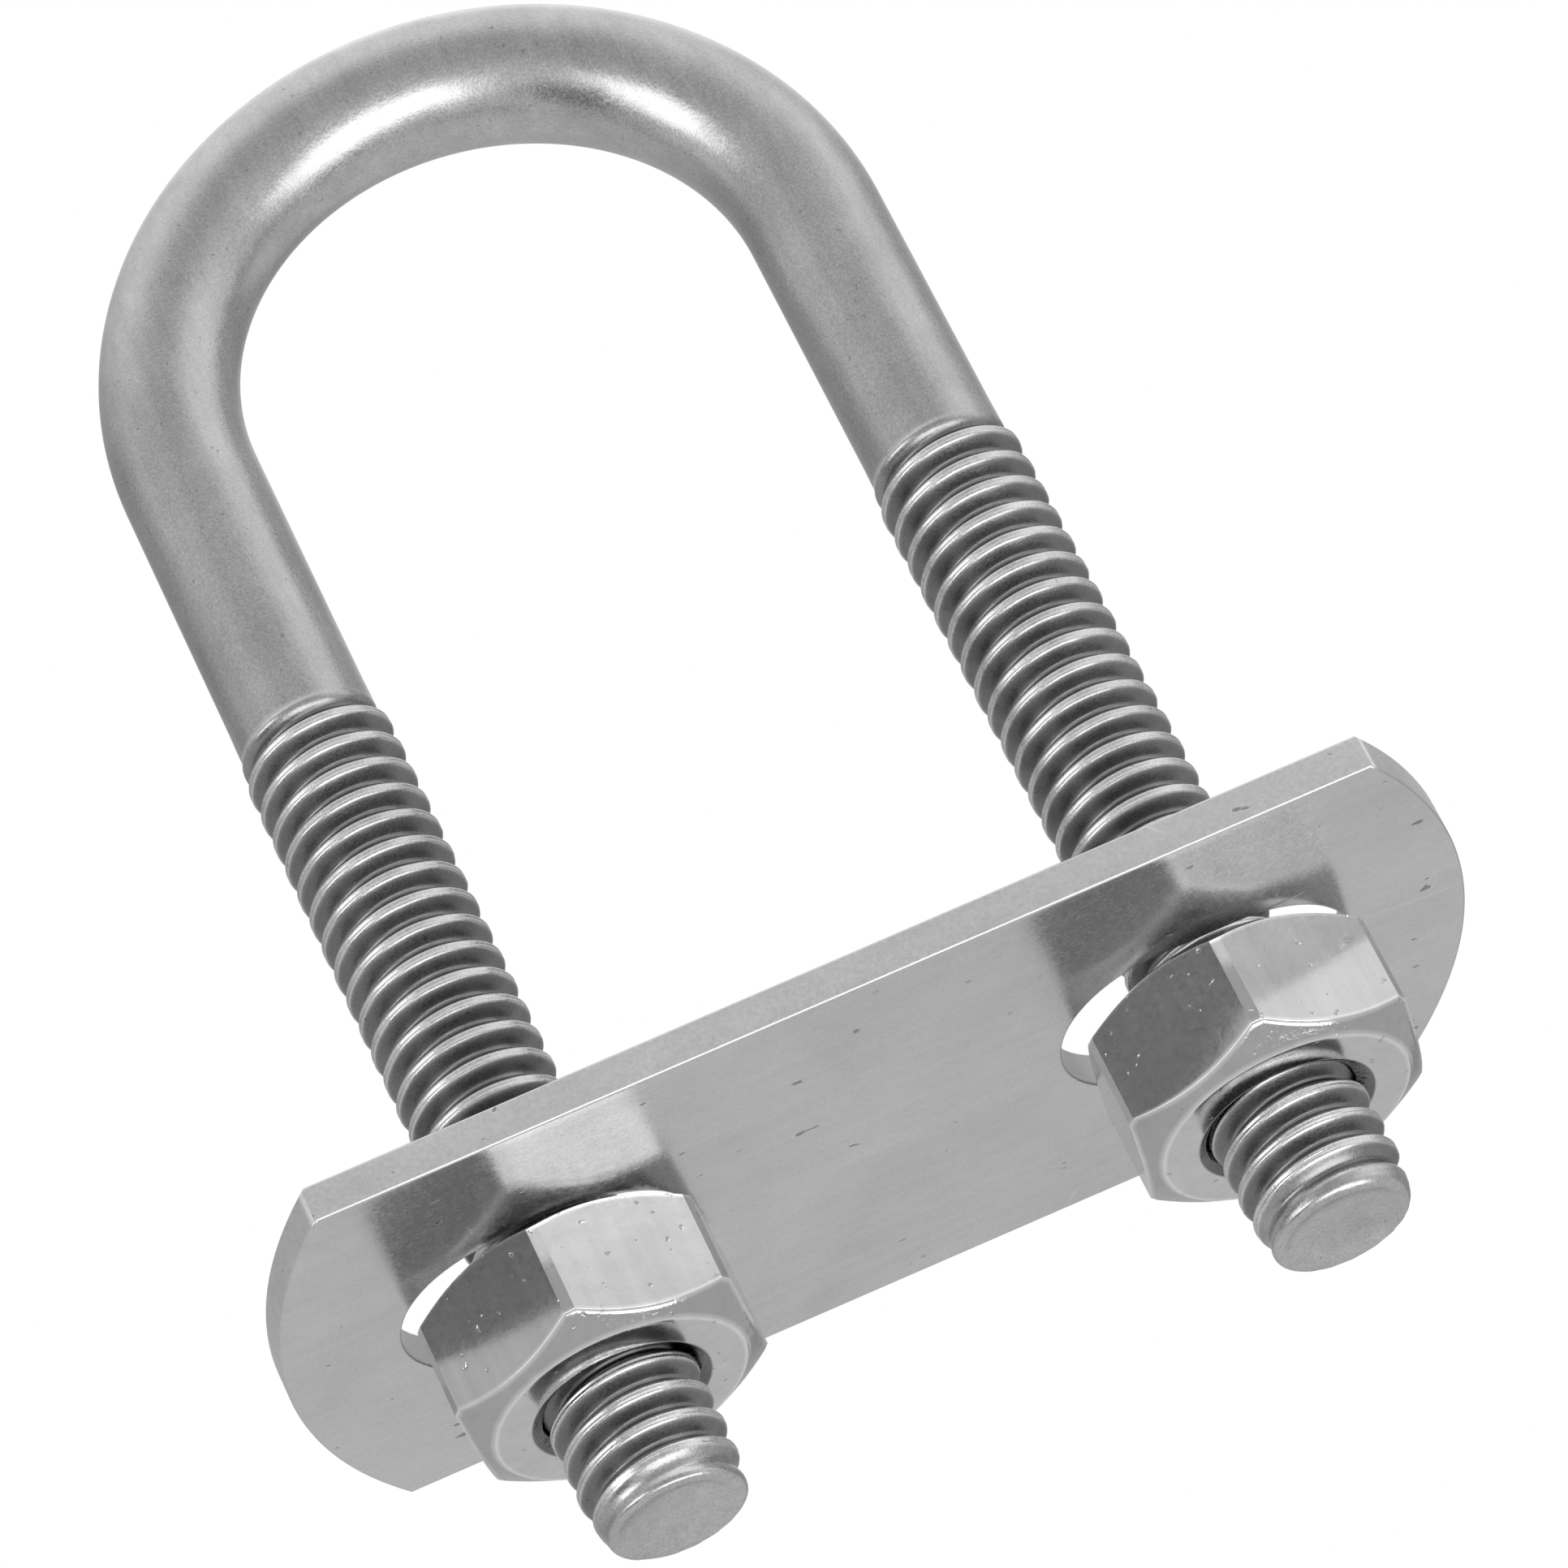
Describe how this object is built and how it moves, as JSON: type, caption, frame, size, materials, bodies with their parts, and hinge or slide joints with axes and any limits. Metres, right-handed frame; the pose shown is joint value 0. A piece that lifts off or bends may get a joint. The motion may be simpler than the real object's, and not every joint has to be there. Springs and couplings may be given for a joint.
{
  "type": "u bolt clamp",
  "caption": "Round-rod U-bolt with rolled threads on both legs, a slotted flat clamp plate and hex nuts.",
  "frame": {"origin": "on the clamping (upper) face of the plate, midway between the two leg axes", "axes": "+Z along the legs towards the bend, +X from the left leg to the right leg, +Y square to the plane of the U"},
  "size_m": [0.0474, 0.0222, 0.0654],
  "materials": {
    "rod_steel": "satin, tumbled, with bright thread crests",
    "plate_steel": "rolled and lightly polished sheet",
    "nut_steel": "bright machined"
  },
  "bodies": {
    "bolt": {"u_bolt": "rod_steel"},
    "plate": {"clamp_plate": "plate_steel"},
    "left_nut_body": {"left_nut": "nut_steel"},
    "right_nut_body": {"right_nut": "nut_steel"}
  },
  "joints": [
    {"name": "plate_slide", "type": "slide", "parent": "bolt", "child": "plate", "axis": [0, 0, 1], "range_m": [-0.01143, 0.02159]},
    {"name": "left_nut_spin", "type": "hinge", "parent": "plate", "child": "left_nut_body", "pos_m": [-0.01325, 0, -0.00438], "axis": [0, 0, 1], "range_deg": [-3240, 6120]},
    {"name": "right_nut_spin", "type": "hinge", "parent": "plate", "child": "right_nut_body", "pos_m": [0.01325, 0, -0.00468], "axis": [0, 0, 1], "range_deg": [-3240, 6120]}
  ],
  "couplings": [
    {"joint": "left_nut_spin", "follows": "plate_slide", "rad_per_m": 4947.4},
    {"joint": "right_nut_spin", "follows": "plate_slide", "rad_per_m": 4947.4}
  ]
}
